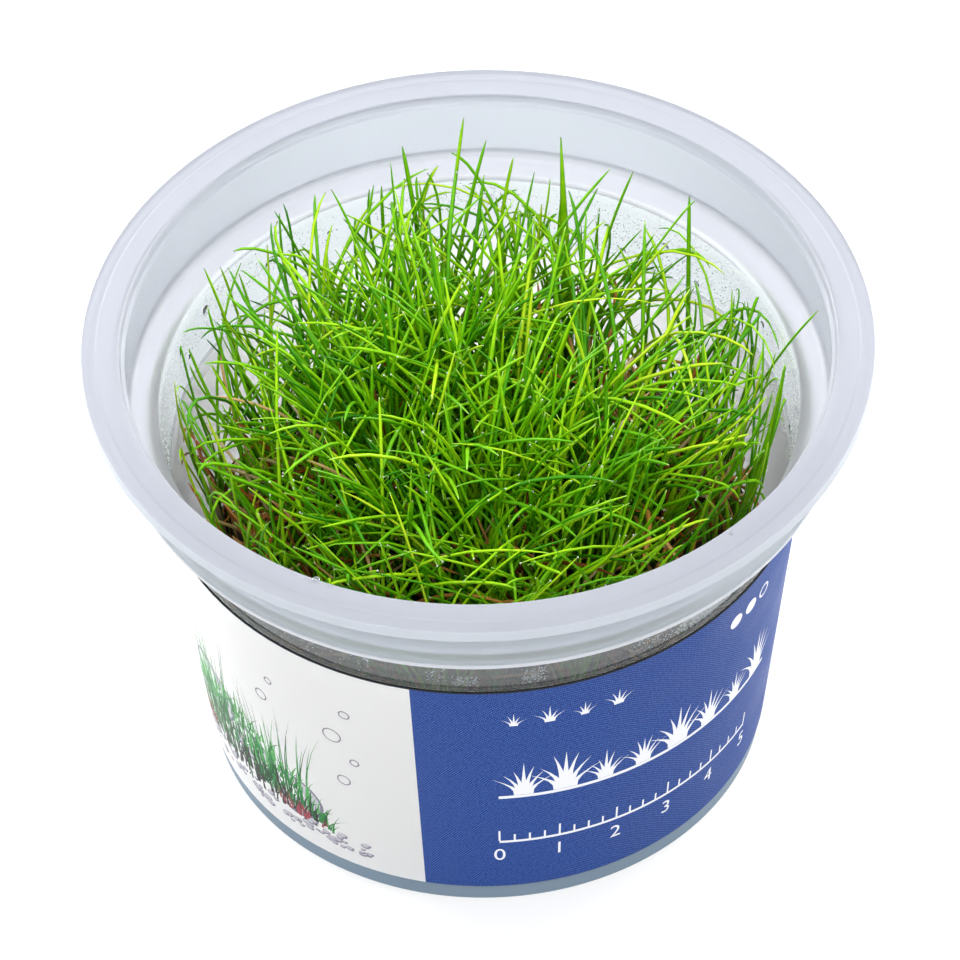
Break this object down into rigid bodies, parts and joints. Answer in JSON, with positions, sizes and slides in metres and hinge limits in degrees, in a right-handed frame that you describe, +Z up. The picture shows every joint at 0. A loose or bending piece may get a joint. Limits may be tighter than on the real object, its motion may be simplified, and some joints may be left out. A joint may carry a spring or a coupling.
{
  "type": "potted dwarf hairgrass in a tissue-culture cup",
  "caption": "Dense cushion of needle-leaved dwarf hairgrass on its root mat and nutrient gel, in an open translucent culture cup with a wraparound label.",
  "frame": {"origin": "centre of the ring that the cup stands on, at the supporting surface", "axes": "+Z up along the cup's axis; -Y is the printed front of the label; +X to the right seen from the front"},
  "size_m": [0.1, 0.1, 0.0694],
  "materials": {
    "cup_plastic": "translucent frosted, semi-clear on the body",
    "label_print": "printed film, satin",
    "gel": "clear, wet",
    "roots": "matte, fibrous",
    "leaf": "satin leaf"
  },
  "bodies": {
    "root": {"cup": "cup_plastic", "label": "label_print", "nutrient_gel": "gel", "root_mat": "roots", "tuft_01": "leaf", "tuft_02": "leaf", "tuft_03": "leaf", "tuft_04": "leaf", "tuft_05": "leaf", "tuft_06": "leaf", "tuft_07": "leaf", "tuft_08": "leaf", "tuft_09": "leaf", "tuft_10": "leaf", "tuft_11": "leaf", "tuft_12": "leaf", "tuft_13": "leaf", "tuft_14": "leaf", "tuft_15": "leaf", "tuft_16": "leaf", "tuft_17": "leaf", "tuft_18": "leaf", "tuft_19": "leaf", "tuft_20": "leaf", "tuft_21": "leaf", "tuft_22": "leaf", "tuft_23": "leaf", "tuft_24": "leaf", "tuft_25": "leaf", "tuft_26": "leaf", "tuft_27": "leaf", "tuft_28": "leaf", "tuft_29": "leaf", "tuft_30": "leaf", "tuft_31": "leaf", "tuft_32": "leaf", "tuft_33": "leaf", "tuft_34": "leaf", "tuft_35": "leaf", "tuft_36": "leaf", "tuft_37": "leaf", "tuft_38": "leaf", "tuft_39": "leaf", "tuft_40": "leaf", "tuft_41": "leaf", "tuft_42": "leaf", "tuft_43": "leaf", "tuft_44": "leaf", "tuft_45": "leaf", "tuft_46": "leaf", "tuft_47": "leaf", "tuft_48": "leaf", "tuft_49": "leaf", "tuft_50": "leaf", "tuft_51": "leaf", "tuft_52": "leaf"}
  },
  "joints": []
}
